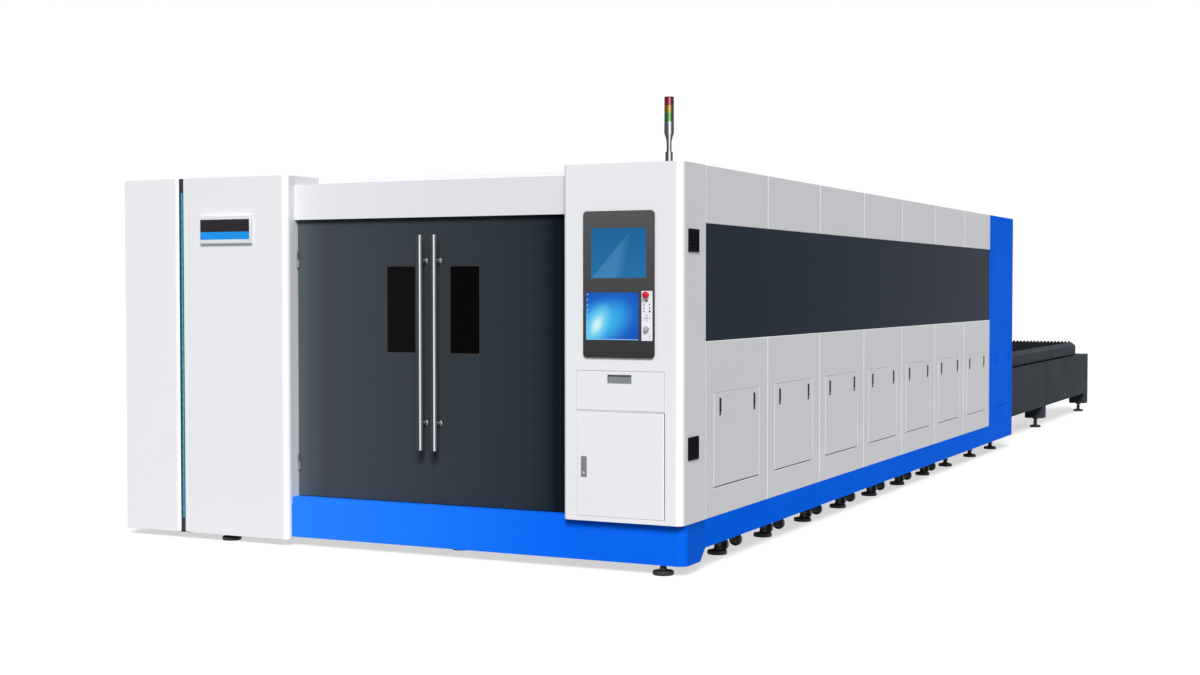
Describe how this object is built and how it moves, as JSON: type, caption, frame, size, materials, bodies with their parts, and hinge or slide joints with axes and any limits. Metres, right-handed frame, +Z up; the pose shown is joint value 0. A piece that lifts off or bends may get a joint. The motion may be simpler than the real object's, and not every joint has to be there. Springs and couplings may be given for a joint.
{
  "type": "fiber laser cutting machine",
  "caption": "Long enclosed sheet metal laser cutter with swing doors, console cabinet, hinged service hatches, gantry head and a pallet exchange table behind.",
  "frame": {"origin": "on the floor, midway between the outermost side faces and between the front of the stop button and the rear end of the exchange table", "axes": "+X to the right as the operator faces the doors, +Y from the doors back to the exchange table, +Z up"},
  "size_m": [3.942, 14.025, 2.672],
  "materials": {
    "white_paint": "satin powder coat",
    "blue_paint": "satin powder coat",
    "door_paint": "satin powder coat",
    "table_paint": "textured paint",
    "frame_paint": "matt paint",
    "slat_steel": "mill scale",
    "sheet_steel": "bare sheet",
    "rail_steel": "ground",
    "tinted_panel": "tinted sheet",
    "dark_glass": "laser-safe tinted pane",
    "stainless": "satin",
    "foot_rubber": "moulded",
    "caster_plastic": "moulded",
    "black_plastic": "moulded",
    "channel_paint": "satin",
    "light_diffuser": "lit diffuser",
    "plate_plastic": "gloss",
    "bezel_plastic": "fine texture",
    "screen_face": "display",
    "panel_white": "membrane",
    "stop_red": "gloss",
    "control_grey": "satin",
    "lamp_red": "lens",
    "lamp_amber": "lens",
    "lamp_green": "lens",
    "machined_aluminium": "machined"
  },
  "bodies": {
    "machine": {"right_wall": "white_paint", "left_wall": "white_paint", "roof_panels": "white_paint", "door_lintel": "white_paint", "left_front": "white_paint", "laser_cabinet": "white_paint", "console_cabinet": "white_paint", "side_skirts": "blue_paint", "rear_portal": "blue_paint", "front_skirt": "blue_paint", "exchange_table": "table_paint", "bed_frame": "frame_paint", "wall_frame": "frame_paint", "scrap_trays": "sheet_steel", "gantry_rails": "rail_steel", "window_bands": "tinted_panel", "levelling_feet": "foot_rubber", "transport_casters": "caster_plastic", "side_filters": "black_plastic", "beacon_post": "black_plastic", "light_channel": "channel_paint", "light_strip": "light_diffuser", "blank_plate": "plate_plastic", "screen_bezel": "bezel_plastic", "upper_screen": "screen_face", "lower_screen": "screen_face", "button_panel": "panel_white", "beacon_red": "lamp_red", "beacon_amber": "lamp_amber", "beacon_green": "lamp_green"},
    "right_door": {"right_door": "door_paint", "right_window": "dark_glass", "right_handle": "stainless"},
    "left_door": {"left_door": "door_paint", "left_window": "dark_glass", "left_handle": "stainless"},
    "drawer": {"keyboard_drawer": "white_paint", "drawer_pull": "control_grey", "keyboard": "black_plastic"},
    "locker_door": {"console_door": "white_paint"},
    "locker_latch": {"door_latch": "control_grey"},
    "stop_button": {"stop_button": "stop_red"},
    "feed_knob": {"feed_knob": "control_grey"},
    "start_button": {"start_button": "control_grey"},
    "gantry": {"gantry_beam": "frame_paint"},
    "carriage": {"head_carriage": "machined_aluminium"},
    "lift": {"lift_slide": "machined_aluminium", "cutting_head": "machined_aluminium"},
    "upper_pallet": {"upper_pallet": "table_paint", "upper_slats": "slat_steel"},
    "lower_pallet": {"lower_pallet": "table_paint", "lower_slats": "slat_steel"},
    "portal_hatch": {"portal_hatch": "blue_paint"},
    "service_hatch_1": {"service_hatch_1": "white_paint"},
    "service_hatch_2": {"service_hatch_2": "white_paint"},
    "service_hatch_3": {"service_hatch_3": "white_paint"},
    "service_hatch_4": {"service_hatch_4": "white_paint"},
    "service_hatch_5": {"service_hatch_5": "white_paint"},
    "service_hatch_6": {"service_hatch_6": "white_paint"},
    "service_hatch_7": {"service_hatch_7": "white_paint"}
  },
  "joints": [
    {"name": "right_door_hinge", "type": "hinge", "parent": "machine", "child": "right_door", "pos_m": [1.208, -6.8655, 1.16], "axis": [0, 0, 1], "range_deg": [0, 90]},
    {"name": "left_door_hinge", "type": "hinge", "parent": "machine", "child": "left_door", "pos_m": [-0.674, -6.8655, 1.16], "axis": [0, 0, -1], "range_deg": [0, 90]},
    {"name": "drawer_slide", "type": "slide", "parent": "machine", "child": "drawer", "axis": [0, -1, 0], "range_m": [0, 0.26]},
    {"name": "locker_door_hinge", "type": "hinge", "parent": "machine", "child": "locker_door", "pos_m": [1.847, -6.9635, 0.61], "axis": [0, 0, 1], "range_deg": [0, 110]},
    {"name": "locker_latch_lift", "type": "hinge", "parent": "locker_door", "child": "locker_latch", "pos_m": [1.3585, -6.963, 0.6465], "axis": [-1, 0, 0], "range_deg": [0, 40]},
    {"name": "stop_press", "type": "slide", "parent": "machine", "child": "stop_button", "axis": [0, 1, 0], "range_m": [0, 0.005], "stiffness_N_per_m": 1500},
    {"name": "feed_knob_turn", "type": "hinge", "parent": "machine", "child": "feed_knob", "pos_m": [1.756, -6.9825, 1.378], "axis": [0, -1, 0], "continuous": true},
    {"name": "start_press", "type": "slide", "parent": "machine", "child": "start_button", "axis": [0, 1, 0], "range_m": [0, 0.002], "stiffness_N_per_m": 600},
    {"name": "gantry_slide", "type": "slide", "parent": "machine", "child": "gantry", "axis": [0, 1, 0], "range_m": [0, 5.9]},
    {"name": "carriage_slide", "type": "slide", "parent": "gantry", "child": "carriage", "axis": [1, 0, 0], "range_m": [-1.2, 1.2]},
    {"name": "lift", "type": "slide", "parent": "carriage", "child": "lift", "axis": [0, 0, 1], "range_m": [-0.3, 0]},
    {"name": "upper_pallet_slide", "type": "slide", "parent": "machine", "child": "upper_pallet", "axis": [0, -1, 0], "range_m": [0, 6.4]},
    {"name": "lower_pallet_slide", "type": "slide", "parent": "machine", "child": "lower_pallet", "axis": [0, 1, 0], "range_m": [0, 6.4]},
    {"name": "service_hatch_1_hinge", "type": "hinge", "parent": "machine", "child": "service_hatch_1", "pos_m": [1.959, -6.1275, 0.457], "axis": [0, 1, 0], "range_deg": [0, 95]},
    {"name": "service_hatch_2_hinge", "type": "hinge", "parent": "machine", "child": "service_hatch_2", "pos_m": [1.959, -5.1045, 0.457], "axis": [0, 1, 0], "range_deg": [0, 95]},
    {"name": "service_hatch_3_hinge", "type": "hinge", "parent": "machine", "child": "service_hatch_3", "pos_m": [1.959, -4.0815, 0.457], "axis": [0, 1, 0], "range_deg": [0, 95]},
    {"name": "service_hatch_4_hinge", "type": "hinge", "parent": "machine", "child": "service_hatch_4", "pos_m": [1.959, -3.0585, 0.457], "axis": [0, 1, 0], "range_deg": [0, 95]},
    {"name": "service_hatch_5_hinge", "type": "hinge", "parent": "machine", "child": "service_hatch_5", "pos_m": [1.959, -2.0355, 0.457], "axis": [0, 1, 0], "range_deg": [0, 95]},
    {"name": "service_hatch_6_hinge", "type": "hinge", "parent": "machine", "child": "service_hatch_6", "pos_m": [1.959, -1.0125, 0.457], "axis": [0, 1, 0], "range_deg": [0, 95]},
    {"name": "service_hatch_7_hinge", "type": "hinge", "parent": "machine", "child": "service_hatch_7", "pos_m": [1.959, 0.0105, 0.457], "axis": [0, 1, 0], "range_deg": [0, 95]},
    {"name": "portal_hatch_hinge", "type": "hinge", "parent": "machine", "child": "portal_hatch", "pos_m": [1.959, 1.1035, 0.457], "axis": [0, 1, 0], "range_deg": [0, 95]}
  ],
  "couplings": [
    {"joint": "lower_pallet_slide", "follows": "upper_pallet_slide", "ratio": 1}
  ]
}
